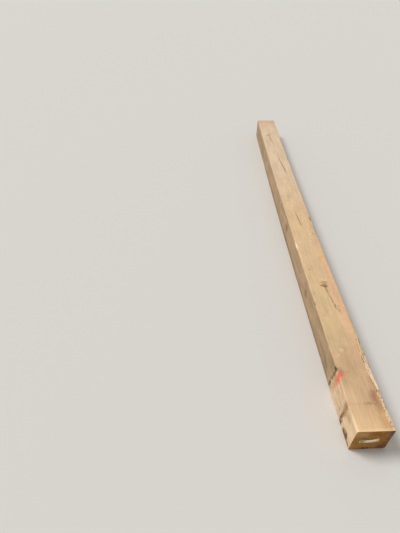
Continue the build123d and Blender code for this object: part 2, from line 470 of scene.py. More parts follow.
# Where the top is frayed into light and dark fibres
frayedPatches = patchesOf([
    ((58, 46, 139), (30, 62, 20), 0.2, 0.75, 0.4),
    ((60, 128, 139), (22, 44, 20), 0.2, 0.45, 0.4),
    ((52, 330, 139), (18, 120, 20), 0.2, 0.3, 0.4),
])
# Where the broken edge is a speckle of pale and brown flecks
fleckedPatches = patchesOf([
    ((63, 116, 138), (12, 62, 16), 0.45, 0.9, 0.5),
    ((64, 52, 138), (11, 44, 16), 0.4, 0.8, 0.6),
])
# Pale ends of broken fibre in that edge: across, along, then how broad and long
paleEnds = patchesOf([((across, along, 138), (breadth, length, 14), 0.25, 0.8, 0.4, "#f8d4aa")
                      for across, along, breadth, length in (
    (66, 8, 7, 11), (66, 24, 6, 8), (62, 44, 9, 9), (58, 57, 8, 6), (64, 70, 6, 5), (64, 83, 7, 7),
    (60, 97, 6, 6), (61, 111, 8, 6), (63, 124, 6, 5), (60, 136, 8, 6), (60, 150, 9, 7))])
# How the fresh wood of the torn corner changes along it
tornTints = patchesOf([
    ((62, 108, 134), (30, 64, 30), 0.5, 0.72, 0.9, "#9a6c46"),
    ((62, 36, 134), (30, 46, 30), 0.5, 0.6, 0.6, "#c08d5e"),
    ((62, 370, 134), (30, 66, 30), 0.4, 0.55, 0, "#d6b478"),
])

# Planed, pressure-treated southern pine. Softwood dries to a matt, fibrous face: pale early wood,
# honey-brown late wood that stands a little proud, a green-gold cast from the salts, and grey-brown
# over most of the sides.
planedWood = {
    "earlyWood": "#dcbb91",
    "lateWood": "#c59e6c",
    "ringShow": 0.22,       # how plainly the late wood shows on a planed face
    "rubbedAndLit": "#f3d6aa",    # the long top edges, rubbed clean by handling, with a painted highlight where the eased edge catches the light
    "fresh": "#ffe6c4",
    "freshShade": "#b07c4a",
    # painted shade for the creases and the inner edge of the torn corner
    "tornCreaseShade": "#5f3d22",
    "tornSpeck": "#a8794c",
    "frayLight": "#f2cf9f",
    "frayDark": "#b67d4d",
    "fleckLight": "#ffe4c0",
    "fleckDark": "#b07e55",
    "fleckScale": (0.2, 0.15, 0.2),   # flecks of about 5 by 7 mm
    "knotHeart": "#9a754a",
    "knotRim": "#6c4a2a",
    "checkShade": "#4b3423",
    "hairline": "#7a5836",
    "fibreWidth": 1.1,      # mm, drawn coarser than the real 0.04 mm tracheids so that it shows
    "fibreLength": 60,      # times its width
    "streakWidth": 7.0,     # mm
    "streakLength": 40,     # times its width
    "ringPatch": (40, 420, 40),       # mm, where the rings show more or less
    "bleed": (9, 12, 9),              # mm that the edges of marks stray
    "edgeRise": (-3.5, 4.0),          # mm round the long edge in which side turns into top
    "rubbedLitRise": (-6.5, -3.0),       # mm from the faces, where the long edge is rubbed and given its painted highlight
    "hairScale": (0.16, 0.0045, 0.16),   # hairlines about 6 mm apart and 220 mm long
    "shredScale": (0.55, 0.022, 0.55),   # torn fibres of about 2 by 45 mm
    "knifeStep": 4.0,       # mm between planer marks, drawn coarser than the real 1.5 mm
    "soilScale": (0.12, 0.04, 0.12),  # marks of about 8 by 25 mm from dirt and handling
    "soilOnSides": 0.65,
    "soilOnTop": 0.38,
    "roughness": 0.74,
}


def planedWoodMaterial():
    material = bpy.data.materials.new("planed pressure-treated pine")
    add = emptyNodes(material)
    place = add("Attribute", [], out=1, attribute_name="place")
    across, along, up = add("SeparateXYZ", [place]).node.outputs
    field = knotField(add, place)
    rings = growthRings(add, place, field)

    # long fibres, broader streaks, and a mottle as broad as it is long
    fine = 1 / planedWood["fibreWidth"]
    fibrePlace = add("VectorMath", [place, (fine, fine / planedWood["fibreLength"], fine)], "MULTIPLY")
    fibres = add("TexNoise", {"Vector": fibrePlace, "Scale": 1.0, "Detail": 3.0, "Roughness": 0.6})
    broad = 1 / planedWood["streakWidth"]
    streakPlace = add("VectorMath", [place, (broad, broad / planedWood["streakLength"], broad)], "MULTIPLY")
    streaks = add("TexNoise", {"Vector": streakPlace, "Scale": 1.0, "Detail": 3.0})
    mottle = add("TexNoise", {"Vector": place, "Scale": 0.16, "Detail": 4.0, "Roughness": 0.6})
    mottle = add("Math", [mottle, 2.0, -1.0], "MULTIPLY_ADD")
    faint = add("VectorMath", [place, [1 / s for s in planedWood["ringPatch"]]], "MULTIPLY")
    faint = add("TexNoise", {"Vector": faint, "Scale": 1.0, "Detail": 2.0})
    faint = add("MapRange", [faint, 0.42, 0.66, 0.15 * planedWood["ringShow"], planedWood["ringShow"]])
    late = add("Math", [rings, faint], "MULTIPLY")
    wood = add("Mix", {0: late, 6: planedWood["earlyWood"], 7: planedWood["lateWood"]})

    # patches bleed along the grain; the top and the sides have their own
    bled = strayed(add, place, {"Vector": streakPlace, "Scale": 1.6, "Detail": 4.0}, planedWood["bleed"])
    topWood = layPatches(add, bled, mottle, wood, topTints)
    slant = add("Math", [up, sideSlant, -slantFrom * sideSlant], "MULTIPLY_ADD")
    slant = add("CombineXYZ", {1: slant})
    slanted = add("VectorMath", [bled, slant], "ADD")
    sideWood = layPatches(add, slanted, mottle, wood, sideTints)
    sideways = add("Math", [across], "ABSOLUTE")
    rise = add("Math", [up, sideways], "SUBTRACT")
    rise = add("Math", [mottle, 1.6, rise], "MULTIPLY_ADD")
    corner = postHeight - postWidth / 2
    onTop = add("MapRange", [rise, *(corner + edge for edge in planedWood["edgeRise"])], "SMOOTHSTEP")
    colour = add("Mix", {0: onTop, 6: sideWood, 7: topWood})
    # the long top edges: paler where rubbed, and a painted highlight on the eased edge
    above = add("Math", [up, corner], "SUBTRACT")
    rubbedAndLit = add("Math", [sideways, above], "MINIMUM")
    rubbedAndLit = add("Math", [mottle, 2.5, rubbedAndLit], "MULTIPLY_ADD")
    rubbedAndLit = add("MapRange", [rubbedAndLit, *(postWidth / 2 + edge for edge in planedWood["rubbedLitRise"])],
                 "SMOOTHSTEP")
    rubbedAndLitAlong = add("TexNoise", {"W": along, "Scale": 0.011, "Detail": 3.0}, noise_dimensions="1D")
    rubbedAndLitAlong = add("MapRange", [rubbedAndLitAlong, 0.45, 0.65, 0.0, 0.15])
    rubbedAndLit = add("Math", [rubbedAndLit, rubbedAndLitAlong], "MULTIPLY")
    colour = add("Mix", {0: rubbedAndLit, 6: colour, 7: planedWood["rubbedAndLit"]})

    # darker and lighter streaks over everything
    level = add("MapRange", [streaks, 0.3, 0.7, 0.92, 1.07])
    lines = add("MapRange", [fibres, 0.25, 0.75, 0.9, 1.07])
    level = add("Math", [level, lines], "MULTIPLY")
    clouds = add("Math", [mottle, 0.05, level], "MULTIPLY_ADD")
    soilPlace = add("VectorMath", [place, planedWood["soilScale"]], "MULTIPLY")
    soil = add("TexNoise", {"Vector": soilPlace, "Scale": 1.0, "Detail": 4.0, "Roughness": 0.7})
    dull = add("TexNoise", {"Vector": soilPlace, "Scale": 0.22, "Detail": 2.0})
    soil = add("Math", [dull, soil], "ADD")
    soilShow = add("MapRange", {0: onTop, 3: planedWood["soilOnSides"], 4: planedWood["soilOnTop"]})
    worked = add("MapRange", [along, 90.0, 190.0, 0.5, 1.0])
    soilShow = add("Math", [soilShow, worked], "MULTIPLY")
    soil = add("Math", [soil, -1.0], "ADD")
    clouds = add("Math", [soil, soilShow, clouds], "MULTIPLY_ADD")
    colour = add("VectorMath", {0: colour, 3: clouds}, "SCALE")

    # hairline drying cracks, a few to the metre
    hairPlace = add("VectorMath", [place, planedWood["hairScale"]], "MULTIPLY")
    hairs = add("TexNoise", {"Vector": hairPlace, "Scale": 1.0, "Detail": 3.0})
    hairs = add("Math", [hairs, 0.5, 0.0035], "COMPARE")
    where = add("MapRange", [streaks, 0.56, 0.66, 0.0, 0.7])
    hairs = add("Math", [hairs, where], "MULTIPLY")
    colour = add("Mix", {0: hairs, 6: colour, 7: planedWood["hairline"]})

    # knots: a red-brown heart and a dark rim of bark
    knotShow = add("MapRange", {0: onTop, 3: 0.45, 4: 1.0})
    heart = add("MapRange", [field, 0.7, 1.3, 0.75, 0.0], "SMOOTHSTEP")
    rimIn = add("MapRange", [field, 0.5, 0.95, 0.0, 0.5], "SMOOTHSTEP")
    rimOut = add("MapRange", [field, 0.95, 1.4, 1.0, 0.0], "SMOOTHSTEP")
    rim = add("Math", [rimIn, rimOut], "MULTIPLY")
    for part, shade in ((heart, "knotHeart"), (rim, "knotRim")):
        shown = add("Math", [part, knotShow], "MULTIPLY")
        colour = add("Mix", {0: shown, 6: colour, 7: planedWood[shade]})

    # dirt, scuffs and marking paint lie on top of the grain
    colour = layPatches(add, bled, mottle, colour, stains)
    colour = layPatches(add, bled, mottle, colour, scuffs)
    colour = layPatches(add, place, mottle, colour, paintStrokes)

    # frayed fibres, light and dark, in the top beside the torn corner
    shredPlace = add("VectorMath", [place, planedWood["shredScale"]], "MULTIPLY")
    shreds = add("TexNoise", {"Vector": shredPlace, "Scale": 1.0, "Detail": 4.0, "Roughness": 0.65})
    shreds = add("MapRange", [shreds, 0.34, 0.58])
    frays = add("TexNoise", {"Vector": shredPlace, "Scale": 0.9, "Detail": 5.0, "Roughness": 0.7})
    frays = add("MapRange", [frays, 0.38, 0.58])
    frayed = add("Mix", {0: frays, 6: planedWood["frayDark"], 7: planedWood["frayLight"]})
    colour = layPatches(add, bled, mottle, colour, frayedPatches, frayed)

    # fresh wood where the corner is torn, in long pale and dark fibres, with painted shade in the creases
    # between them and in a dark line round it
    torn = add("Attribute", [], out=2, attribute_name="torn")
    fresh = add("Mix", {0: shreds, 6: planedWood["freshShade"], 7: planedWood["fresh"]})
    specks = add("MapRange", [mottle, 0.02, 0.2, 0.0, 0.75])
    fresh = add("Mix", {0: specks, 6: fresh, 7: planedWood["tornSpeck"]})
    fresh = layPatches(add, bled, mottle, fresh, tornTints)
    # painted shade: where the torn wood lies low, in creases, gutter and pits, it takes the crease colour
    proud = add("MapRange", [torn, 0.3, 0.75])
    fresh = add("Mix", {0: proud, 6: planedWood["tornCreaseShade"], 7: fresh})
    isTorn = add("MapRange", [torn, 0.05, 0.25])
    colour = add("Mix", {0: isTorn, 6: colour, 7: fresh})

    # flecks about as long as they are broad, where short fibres have broken away
    fleckPlace = add("VectorMath", [place, planedWood["fleckScale"]], "MULTIPLY")
    flecks = add("TexNoise", {"Vector": fleckPlace, "Scale": 1.0, "Detail": 2.0})
    flecks = add("MapRange", [flecks, 0.47, 0.55])
    flecked = add("Mix", {0: flecks, 6: planedWood["fleckDark"], 7: planedWood["fleckLight"]})
    colour = layPatches(add, bled, mottle, colour, fleckedPatches, flecked)
    colour = layPatches(add, place, mottle, colour, paleEnds)

    # painted shade inside a drying check, darker with depth
    gap = add("Attribute", [], out=2, attribute_name="paintedCheckShade")
    colour = add("Mix", {0: gap, 6: colour, 7: planedWood["checkShade"]})

    # late wood and fibres stand proud, the planer left faint ripples across
    ripple = add("Math", [along, 2 * math.pi / planedWood["knifeStep"]], "MULTIPLY")
    ripple = add("Math", [ripple], "SINE")
    relief = add("Math", [late, 1.2], "MULTIPLY")
    relief = add("Math", [fibres, 0.9, relief], "MULTIPLY_ADD")
    relief = add("Math", [ripple, 0.04, relief], "MULTIPLY_ADD")
    relief = add("Math", [hairs, -1.5, relief], "MULTIPLY_ADD")
    tornRelief = add("Math", [shreds, isTorn], "MULTIPLY")
    relief = add("Math", [tornRelief, 1.6, relief], "MULTIPLY_ADD")
    bump = add("Bump", {"Strength": 0.6, "Distance": 0.0005, "Height": relief})
    shader = add("BsdfPrincipled", {"Base Color": colour, "Roughness": planedWood["roughness"],
                                    "Normal": bump, "IOR": 1.45, "Specular IOR Level": 0.3})
    add("OutputMaterial", {"Surface": shader})
    return material


# End grain cut by a circular saw: it drinks in the treatment, so it is the darkest face, with
# faint arcs from the blade across the rings and hairline cracks out from the pith.
sawnEnd = {
    "earlyWood": "#b98440",
    "lateWood": "#8b5a2b",
    "crack": "#3d2814",
    "bladeRadius": 180.0,   # mm
    "toothStep": 3.2,       # mm between the blade's arcs
    "hubAcross": -60,       # mm, where the blade's middle lay
    "warp": (26, 0, 26),    # mm that the edges of stains stray
    "blotchScale": 0.13,    # blotches of about 8 mm, where the grain drinks more or less
    "roughness": 0.85,
}
# Stains in the end grain, and its darkening towards the right edge: middle across and up, reach
# across and up, then as above
endStains = patchesOf([((across, 0, up), (breadth, farOff, height), *rest)
                       for across, up, breadth, height, *rest in (
    (9, 58, 3.5, 3.5, 0.2, 0.8, 0.3, "#4d2f16"),
    (48, 95, 34, 60, 0.1, 0.55, 0, "#965c26"),
    # darker and grey-purple towards the right edge of the end
    (70, 122, 24, 34, 0.5, 0.88, 0.5, "#6a564c"),
    (70, 80, 15, 34, 0.1, 0.7, 0.6, "#75604f"),
    (44, 124, 10, 12, 0.1, 0.6, 0.6, "#6b4522"),
    (54, 22, 42, 42, 0.2, 0.72, 0.3, "#6a4434"),
    (-66, 34, 14, 30, 0.2, 0.75, 0.3, "#bc9a50"),
    (2, 118, 44, 22, 0.3, 0.6, 0.4, "#966426"),
    (-26, 131, 14, 9, 0.1, 0.5, 0.4, "#cfa062"),
    (48, 112, 9, 26, 0.1, 0.6, 0.5, "#a68064"),
    (60, 76, 11, 13, 0.2, 0.75, 0.5, "#6e4224"),
    (-50, 118, 50, 32, 0.1, 0.75, 0.3, "#cda66a"),
    (-58, 7, 20, 14, 0.1, 0.85, 0.4, "#b68c68"),
    (57, 55, 11, 14, 0.2, 0.85, 0.5, "#5f5440"),
    (30, 80, 20, 12, 0.1, 0.5, 0.6, "#b97d44"),
    (24, 108, 26, 10, 0.1, 0.5, 0.6, "#7a4d20"),
    (33, 68, 7, 6, 0.2, 0.7, 0.6, "#5c3b1a"),
    (-28, 86, 18, 9, 0.2, 0.7, 0.5, "#7a5a22"),
    (-12, 8, 60, 14, 0.2, 0.3, 0.5, "#6b4a26"),
    (-17, 5, 9, 9, 0.4, 0.95, 0.4, "#201004"),
    (-1, 9, 6, 11, 0.3, 0.85, 0.4, "#3a2208"),
    (24, 6, 4, 5, 0.3, 0.7, 0.4, "#3a2410"),
)])


def sawnEndMaterial():
    material = bpy.data.materials.new("sawn end grain of treated pine")
    add = emptyNodes(material)
    place = add("Attribute", [], out=1, attribute_name="place")
    field = knotField(add, place)
    rings = growthRings(add, place, field)
    shade = add("Math", [rings, 0.75], "MULTIPLY")
    colour = add("Mix", {0: shade, 6: sawnEnd["earlyWood"], 7: sawnEnd["lateWood"]})
    mottle = add("TexNoise", {"Vector": place, "Scale": 0.13, "Detail": 4.0})
    mottle = add("Math", [mottle, 2.0, -1.0], "MULTIPLY_ADD")
    warp = strayed(add, place, {"Vector": place, "Scale": 0.05, "Detail": 4.0}, sawnEnd["warp"])
    colour = layPatches(add, warp, mottle, colour, endStains)

    # pores and rays
    grit = add("TexNoise", {"Vector": place, "Scale": 0.9, "Detail": 3.0})
    level = add("MapRange", [grit, 0.25, 0.75, 0.78, 1.18])
    thirsty = add("TexNoise", {"Vector": warp, "Scale": sawnEnd["blotchScale"], "Detail": 3.0,
                               "Roughness": 0.65})
    thirsty = add("MapRange", [thirsty, 0.3, 0.7, 0.68, 1.22])
    level = add("Math", [level, thirsty], "MULTIPLY")
    colour = add("VectorMath", {0: colour, 3: level}, "SCALE")

    # hairline cracks along the rays: thin lines of constant angle round the pith, broken up
    toPith = add("VectorMath", [warp, (pith["across"], 0, pith["up"])], "SUBTRACT")
    spoke = add("VectorMath", [toPith], "NORMALIZE")
    spokes = add("TexNoise", {"Vector": spoke, "Scale": 6.0, "Detail": 2.0})
    cracks = add("Math", [spokes, 0.5, 0.006], "COMPARE")
    broken = add("MapRange", [mottle, 0.0, 0.25, 0.0, 0.75])
    cracks = add("Math", [cracks, broken], "MULTIPLY")
    colour = add("Mix", {0: cracks, 6: colour, 7: sawnEnd["crack"]})

    # arcs of the saw teeth
    hub = (sawnEnd["hubAcross"], 0, postHeight / 2 - sawnEnd["bladeRadius"])
    toHub = add("VectorMath", [place, hub], "SUBTRACT")
    toHub = add("VectorMath", [toHub], "LENGTH", out=1)
    arcs = add("Math", [toHub, 2 * math.pi / sawnEnd["toothStep"]], "MULTIPLY")
    arcs = add("Math", [arcs], "SINE")
    relief = add("Math", [arcs, 0.35, grit], "MULTIPLY_ADD")
    relief = add("Math", [cracks, -2.0, relief], "MULTIPLY_ADD")
    bump = add("Bump", {"Strength": 0.5, "Distance": 0.0006, "Height": relief})
    shader = add("BsdfPrincipled", {"Base Color": colour, "Roughness": sawnEnd["roughness"], "Normal": bump,
                                    "IOR": 1.45, "Specular IOR Level": 0.2})
    add("OutputMaterial", {"Surface": shader})
    return material


# The timber as a skin of rings round the section, close-set where there is more to show
timber = {
    "arrisRadius": 6.0,
    "cornerSteps": 5,
    "sideSteps": 12,
    "undersideSteps": 10,
    "topStepsLeft": 18,
    "topStepsRight": 10,
    "besideCheck": 6,          # mm between a check's edge and the evenly spaced columns
    "tornBreadth": 25.0,       # mm of the top that get a finer mesh
    "tornHeight": 15.0,        # mm of the side that do
    "tornStep": 0.8,
    "tornSpacing": 1.7,        # mm between rings along the torn corner
    "endSpacing": 3.0,
    "checkSpacing": 4.0,       # through a drying check
    "plainSpacing": 11.0,
    "capRings": 22,
    "sawMarks": 0.25,          # mm that the sawn ends are uneven by
    "undulation": 0.5,         # mm of hollow in the planed faces
    "arrisWear": 1.6,          # mm lost where the long edges are bruised
    "evenWear": 0.35,          # mm lost along all of them
    "arrisFrom": 0.84,         # share of the way out to an edge from which it is worn
    "bruiseEvery": 38,         # mm
    "bruiseFrom": 0.22,        # the higher, the fewer bruises
    "sawnEdge": 0.5,           # mm broken off the edge of the cut
}

# The drying checks, as they are cut in the solid: share of the length, then mm
dryingChecks = [
    {"share": 0.8480, "across": -3.0, "length": 200, "drift": 23, "opening": 2.6, "depth": 22},
    {"share": 0.7050, "across": 14.0, "length": 300, "drift": 21.5, "opening": 4.6, "depth": 36},
    {"share": 0.4670, "across": -4.0, "length": 176, "drift": 11, "opening": 3.4, "depth": 28},
    {"share": 0.2334, "across": 16.5, "length": 146, "drift": 17, "opening": 3.0, "depth": 20},
]
checkRuns = []
for check in sorted(dryingChecks, key=lambda c: c["share"]):
    middle = check["share"] * postLength
    checkRuns.append((middle - check["length"] / 2, check["across"] + check["drift"] / 2))
    checkRuns.append((middle + check["length"] / 2, check["across"] - check["drift"] / 2))

# The torn corner, as it is cut in the solid: place along, reach across the top, reach down the side
tornCorner = [
    (12, 0, 0), (34, 8, 4), (62, 11, 5.5), (86, 12, 6), (122, 12, 6.5), (146, 14, 7), (158, 15, 10),
    (168, 14, 3), (206, 18, 3.5), (266, 22, 4), (322, 21, 4.5), (366, 18, 4), (410, 13, 3), (448, 0, 0),
]

# Bruises in the long edges and faces: centre across, along and up, length, breadth, depth in mm
dents = [
    (70, 1286, 139, 24, 9, 3.0),
    (70, 1178, 139, 38, 8, 2.2),
    (-70, 1092, 139, 42, 7, 1.6),
    (-70, 258, 137, 14, 8, 2.0),
    (-70, 640, 139, 60, 5, 1.0),
    (70, 2050, 139, 46, 6, 1.4),
    (70, 1720, 2, 55, 9, 2.2),
    (-70, 2240, 1, 40, 8, 2.0),
    (-70, 118, 120, 16, 14, 0.9),
    (30, 1140, 140, 13, 7, 0.8),
    (-30, 1740, 140, 16, 9, 0.7),
    (70, 905, 60, 22, 12, 1.2),
    (-70, 1880, 74, 26, 11, 1.1),
]


# Straight-line reading of a table of rows that start with a place along the timber
def readTable(rows, along):
    if along <= rows[0][0]:
        return rows[0][1:]
    for before, after in zip(rows, rows[1:]):
        if along <= after[0]:
            share = (along - before[0]) / (after[0] - before[0])
            return [a + (b - a) * share for a, b in zip(before[1:], after[1:])]
    return rows[-1][1:]


# Where the line of checks runs at a place along, and how wide and deep it is open there
def checkAt(along):
    across = readTable(checkRuns, along)[0]
    half, depth = 0.3, 0.0
    for check in dryingChecks:
        step = (along - check["share"] * postLength) / check["length"] + 0.5
        if 0 < step < 1:
            swell = math.sin(math.pi * step)
            ragged = 1 + 0.3 * smoothNoise(along / 11, check["depth"], 0)
            half = max(half, check["opening"] / 2 * swell ** 0.7 * ragged)
            depth = check["depth"] * swell ** 0.5
            across += 0.8 * math.sin(2 * math.pi * step) + 0.9 * smoothNoise(along / 17, 3, 0) * swell
    return across, half, depth


def arcPoints(centreAcross, centreUp, fromAngle, toAngle, steps):
    points = []
    for i in range(1, steps):
        angle = math.radians(fromAngle + (toAngle - fromAngle) * i / steps)
        points.append((centreAcross + timber["arrisRadius"] * math.cos(angle),
                       centreUp + timber["arrisRadius"] * math.sin(angle), 0.0))
    return points


def spread(low, high, count):
    return [low + (high - low) * i / count for i in range(count + 1)]


# Across a drying check: halves of its opening from its middle line, mm more, share of its depth
checkProfile = [(-1, -1.2, 0.0), (-1, 0, 0.02), (-0.5, 0, 0.5), (0, 0, 1.0), (0.5, 0, 0.5), (1, 0, 0.02),
                (1, 1.2, 0.0)]


# The section's outline, up the left side, over the top, down the right side and back:
# across, up, painted shade in a check from 0 to 1
def outlineAt(along):
    r = timber["arrisRadius"]
    flat = postWidth / 2 - r
    ceiling = postHeight - r
    fineEdge = postWidth / 2 - timber["tornBreadth"]
    fineSteps = round((flat - fineEdge) / timber["tornStep"])
    checkAcross, half, depth = checkAt(along)
    lean = (pith["across"] - checkAcross) / (postHeight - pith["up"])
    clear = half + timber["besideCheck"]
    top = [(x, 0.0) for x in spread(-flat, checkAcross - clear, timber["topStepsLeft"])]
    top += [(checkAcross + half * halves + more, sink) for halves, more, sink in checkProfile]
    top += [(x, 0.0) for x in spread(checkAcross + clear, fineEdge, timber["topStepsRight"])[:-1]]
    top += [(x, 0.0) for x in spread(fineEdge, flat, fineSteps)]
    points = [(-postWidth / 2, up, 0.0) for up in spread(r, ceiling, timber["sideSteps"])]
    points += arcPoints(-flat, ceiling, 180, 90, timber["cornerSteps"])
    for x, sink in top:
        down = depth * sink
        # painted shade inside a check: dark from a little way in, and less where the check is narrow
        shade = min(1.0, 0.25 + 1.6 * sink) if depth > 0 and sink > 0.1 else 0.0
        points.append((x + lean * down, postHeight - down, shade * min(1.0, half / 1.4) ** 2))
    points += arcPoints(flat, ceiling, 90, 0, round(math.pi / 2 * r / timber["tornStep"]))
    fineFloor = postHeight - timber["tornHeight"]
    downSteps = round((ceiling - fineFloor) / timber["tornStep"])
    points += [(postWidth / 2, up, 0.0) for up in spread(ceiling, fineFloor, downSteps)[:-1]]
    points += [(postWidth / 2, up, 0.0) for up in spread(fineFloor, r, timber["sideSteps"])]
    points += arcPoints(flat, r, 0, -90, timber["cornerSteps"])
    points += [(x, 0.0, 0.0) for x in spread(flat, -flat, timber["undersideSteps"])]
    points += arcPoints(-flat, r, -90, -180, timber["cornerSteps"])
    return points


# Planer hollows, dents and bruised long edges, always inwards
def weathered(across, along, up):
    fromMiddle = up - postHeight / 2
    hollow = timber["undulation"] * (0.55 + 0.45 * smoothNoise(across / 45, along / 130, up / 45))
    sideways, upwards = abs(across) / (postWidth / 2), abs(fromMiddle) / (postHeight / 2)
    edge = timber["arrisFrom"]
    corner = (max(0.0, min(sideways, upwards) - edge) / (1 - edge)) ** 2
    bruise = smoothNoise(along / timber["bruiseEvery"], 7 * math.copysign(1, across),
                         5 * math.copysign(1, fromMiddle)) - timber["bruiseFrom"]
    wear = timber["arrisWear"] * max(0.0, bruise) * 2.2 * corner + timber["evenWear"] * corner
    for dentAcross, dentAlong, dentUp, length, breadth, depth in dents:
        if abs(along - dentAlong) < 2.2 * length:
            aside = math.hypot(across - dentAcross, up - dentUp) / breadth
            lengthwise = (along - dentAlong) / length
            uneven = 1 + 0.4 * smoothNoise(along / 6, aside, 1)
            wear += depth * math.exp(-1.5 * (lengthwise ** 2 + aside ** 2)) * uneven
    scale = 1 - (hollow + wear) / (postWidth / 2)
    if sideways > upwards + 0.1:
        return across * scale, up
    if upwards > sideways + 0.1:
        return across, postHeight / 2 + fromMiddle * scale
    return across * scale, postHeight / 2 + fromMiddle * scale


# The torn face is made of long shreds, each proud of the face and pointed at its free end
tornFace = {
    "seed": 5,
    "count": 64,
    "between": (16, 415),    # mm along, where the shreds' free ends lie
    "lastRoot": 447,
    "inwards": (2, 23),      # mm from the inner edge
    "lean": (-0.03, 0.03),
    "length": (38, 150),
    "breadth": (1.8, 6.0),
    "height": (0.5, 2.6),
    "roughUpTo": (172, 20),  # mm along, the near stretch that is broken up, and how softly it ends
    "sunk": 1.5,       # mm that the face lies below the solid's between the shreds
    "gutter": 2.0,     # mm more along the inner edge, where strips have pulled out
    "gutterBreadth": 4.6,
    "pit": 1.8,        # mm more in pits where chunks have come away
    "nearRoughness": 1.8,
}
random.seed(tornFace["seed"])
# Free end and root along, then mm in from the inner edge, lean, breadth and height
tornShreds = []
for _ in range(tornFace["count"]):
    tip = random.uniform(*tornFace["between"])
    length = random.uniform(*tornFace["length"])
    tornShreds.append((tip, min(tip + length, tornFace["lastRoot"]), random.uniform(*tornFace["inwards"]),
                       random.uniform(*tornFace["lean"]), random.uniform(*tornFace["breadth"]),
                       random.uniform(*tornFace["height"])))
tornShreds += [(164, 262, 9.0, -0.04, 9.0, 3.4), (206, 330, 15.0, 0.02, 7.0, 2.8),
               (300, 428, 6.0, 0.02, 6.0, 2.6)]


# How far the shreds stand above the torn face at a place along it and aside from its inner edge
def shredHeight(along, aside):
    height = 0.0
    for tip, root, inwards, lean, breadth, proud in tornShreds:
        if tip < along < root:
            share = (along - tip) / (root - tip)
            half = breadth / 2 * min(1.0, 2.5 * share) ** 0.7
            off = abs(aside - inwards - lean * (along - tip))
            if off < half:
                edge = min(1.0, 2.6 * (1 - off / half))
                height = max(height, proud * edge * (1 - share) ** 0.5)
    return height


# Presses a point of the upper +X corner down onto the torn face. The third value is how torn the
# wood is there, and it sets the painted shade: 0 outside, about a third in the creases, gutter and pits,
# which get the darkest painted shade, 1 on the shreds.
def tornPlace(across, along, up):
    reach, drop = readTable(tornCorner, along)
    if reach < 0.5:
        return across, up, 0.0
    size = math.hypot(reach, drop)
    outward = (drop / size, reach / size)
    # how far out of the face the point lies, and how far down it from its inner edge
    beyond = (across - (postWidth / 2 - reach)) * outward[0] + (up - postHeight) * outward[1]
    aside = (across - postWidth / 2 + reach) * outward[1] - (up - postHeight) * outward[0]
    roughEnd, roughFade = tornFace["roughUpTo"]
    near = clamped((roughEnd - along) / roughFade)
    ragged = 0.5 * smoothNoise(along / 14, 1.0, 2.0) + (0.25 + 1.1 * near) * smoothNoise(along / 4, 5.0, 2.0)
    if beyond < -0.1 + ragged * min(1.0, reach / 8):
        return across, up, 0.0
    fade = min(1.0, reach / 7)  # shallow where the torn corner starts and ends
    inGutter = max(0.0, 1 - max(0.0, aside) / tornFace["gutterBreadth"])
    inGutter = min(1.0, 1.8 * inGutter) * clamped(0.75 + 1.6 * smoothNoise(along / 31, 8.0, 3.0))
    pitted = clamped(7 * (smoothNoise(aside / 3.0, along / 34, 9.0) - 0.24))
    proud = shredHeight(along, aside) * (1 - inGutter) * (1 - pitted)
    grit = 0.35 * smoothNoise(aside / 1.3, along / 22, 4.0)
    grit += tornFace["nearRoughness"] * near * smoothNoise(aside / 4.0, along / 5.5, 7.0)
    sunk = tornFace["sunk"] * (1 - 0.85 * min(1.0, aside / size)) - proud + grit
    sunk += tornFace["gutter"] * inGutter + tornFace["pit"] * pitted
    sink = max(0.0, beyond) + fade * max(0.1, sunk)
    level = min(1.0, 0.34 + 0.06 * (1 - inGutter) * (1 - pitted) + 0.5 * proud)
    across = min(across - outward[0] * sink, postWidth / 2)
    return across, min(up - outward[1] * sink, postHeight - 0.05), level


def ringPlaces():
    places = [0.0, timber["sawnEdge"]]
    tornFrom, tornTo = tornCorner[0][0], tornCorner[-1][0]
    while places[-1] < postLength - timber["plainSpacing"]:
        here = places[-1]
        step = timber["plainSpacing"]
        if tornFrom - 4 < here < tornTo + 2:
            step = timber["tornSpacing"]
        elif here < tornFrom:
            step = timber["endSpacing"]
        elif any(a - 8 < here < b + 8 for (a, _), (b, _) in zip(checkRuns[::2], checkRuns[1::2])):
            step = timber["checkSpacing"]
        places.append(here + step)
    places[-1] = postLength - timber["sawnEdge"]
    return places + [postLength]


def timberSkin():
    points, places, torn, checkShades = [], [], [], []
    rings = ringPlaces()
    for along in rings:
        atCut = along in (0.0, postLength)
        for across, up, gap in outlineAt(along):
            if gap == 0.0:
                across, up = weathered(across, along, up)
            across, up, isTorn = tornPlace(across, along, up)
            if atCut:
                ease = 1 - timber["sawnEdge"] / (postWidth / 2)
                across, up = across * ease, postHeight / 2 + (up - postHeight / 2) * ease
            points.append(inFrame(across, along, up))
            places.append((across, along, up))
            torn.append(isTorn)
            checkShades.append(gap)
    columns = len(points) // len(rings)
    faces = wallFaces(0, len(rings), columns)
    skinFaces = len(faces)

    # the two sawn ends, as rings that close in on the middle
    for start, along, inwards in ((0, 0.0, 1), ((len(rings) - 1) * columns, postLength, -1)):
        outer = list(range(start, start + columns))
        rim = [places[i] for i in outer]
        for step in range(1, timber["capRings"] + 1):
            shrink = 1 - step / (timber["capRings"] + 0.6)  # leaves a small last ring
            inner = []
            for across, _, up in rim:
                x, z = across * shrink, postHeight / 2 + (up - postHeight / 2) * shrink
                sunk = timber["sawMarks"] * (0.5 + 0.5 * smoothNoise(x / 14, z / 14, along))
                inner.append(len(points))
                points.append(inFrame(x, along + inwards * sunk, z))
                places.append((x, along, z))
                torn.append(0.0)
                checkShades.append(0.0)
            for i in range(columns):
                quad = (outer[i], inner[i], inner[(i + 1) % columns], outer[(i + 1) % columns])
                faces.append(quad if inwards > 0 else quad[::-1])
            outer = inner
        faces.append(tuple(outer[::-1]) if inwards > 0 else tuple(outer))
    return points, faces, places, torn, checkShades, skinFaces


